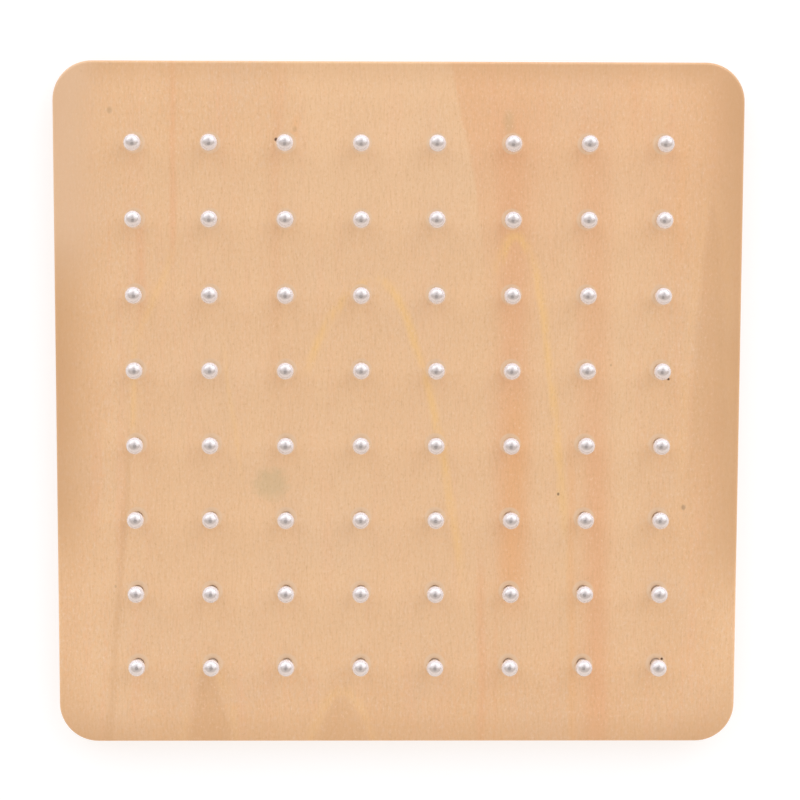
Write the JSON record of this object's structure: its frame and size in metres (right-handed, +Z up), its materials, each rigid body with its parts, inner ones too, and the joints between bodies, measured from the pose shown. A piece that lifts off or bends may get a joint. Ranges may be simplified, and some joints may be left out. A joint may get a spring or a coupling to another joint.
{
  "type": "geoboard",
  "caption": "Square plywood geoboard with rounded corners and a grid of ball-headed metal pins for stretching rubber bands into shapes.",
  "frame": {"origin": "centre of the board's flat underside", "axes": "+Z up out of the face that carries the pins, +X across the board, +Y from the front edge to the back edge, which is the upper edge when the board is held up to read"},
  "size_m": [0.2286, 0.2286, 0.0196],
  "materials": {
    "board_wood": "pale basswood-faced plywood, sanded, clear satin finish, plies showing on the edges",
    "pin_metal": "polished nickel plate on steel"
  },
  "bodies": {
    "root": {"board": "board_wood", "pin_row1_col1": "pin_metal", "pin_row1_col2": "pin_metal", "pin_row1_col3": "pin_metal", "pin_row1_col4": "pin_metal", "pin_row1_col5": "pin_metal", "pin_row1_col6": "pin_metal", "pin_row1_col7": "pin_metal", "pin_row1_col8": "pin_metal", "pin_row2_col1": "pin_metal", "pin_row2_col2": "pin_metal", "pin_row2_col3": "pin_metal", "pin_row2_col4": "pin_metal", "pin_row2_col5": "pin_metal", "pin_row2_col6": "pin_metal", "pin_row2_col7": "pin_metal", "pin_row2_col8": "pin_metal", "pin_row3_col1": "pin_metal", "pin_row3_col2": "pin_metal", "pin_row3_col3": "pin_metal", "pin_row3_col4": "pin_metal", "pin_row3_col5": "pin_metal", "pin_row3_col6": "pin_metal", "pin_row3_col7": "pin_metal", "pin_row3_col8": "pin_metal", "pin_row4_col1": "pin_metal", "pin_row4_col2": "pin_metal", "pin_row4_col3": "pin_metal", "pin_row4_col4": "pin_metal", "pin_row4_col5": "pin_metal", "pin_row4_col6": "pin_metal", "pin_row4_col7": "pin_metal", "pin_row4_col8": "pin_metal", "pin_row5_col1": "pin_metal", "pin_row5_col2": "pin_metal", "pin_row5_col3": "pin_metal", "pin_row5_col4": "pin_metal", "pin_row5_col5": "pin_metal", "pin_row5_col6": "pin_metal", "pin_row5_col7": "pin_metal", "pin_row5_col8": "pin_metal", "pin_row6_col1": "pin_metal", "pin_row6_col2": "pin_metal", "pin_row6_col3": "pin_metal", "pin_row6_col4": "pin_metal", "pin_row6_col5": "pin_metal", "pin_row6_col6": "pin_metal", "pin_row6_col7": "pin_metal", "pin_row6_col8": "pin_metal", "pin_row7_col1": "pin_metal", "pin_row7_col2": "pin_metal", "pin_row7_col3": "pin_metal", "pin_row7_col4": "pin_metal", "pin_row7_col5": "pin_metal", "pin_row7_col6": "pin_metal", "pin_row7_col7": "pin_metal", "pin_row7_col8": "pin_metal", "pins_front_row": "pin_metal"}
  },
  "joints": []
}
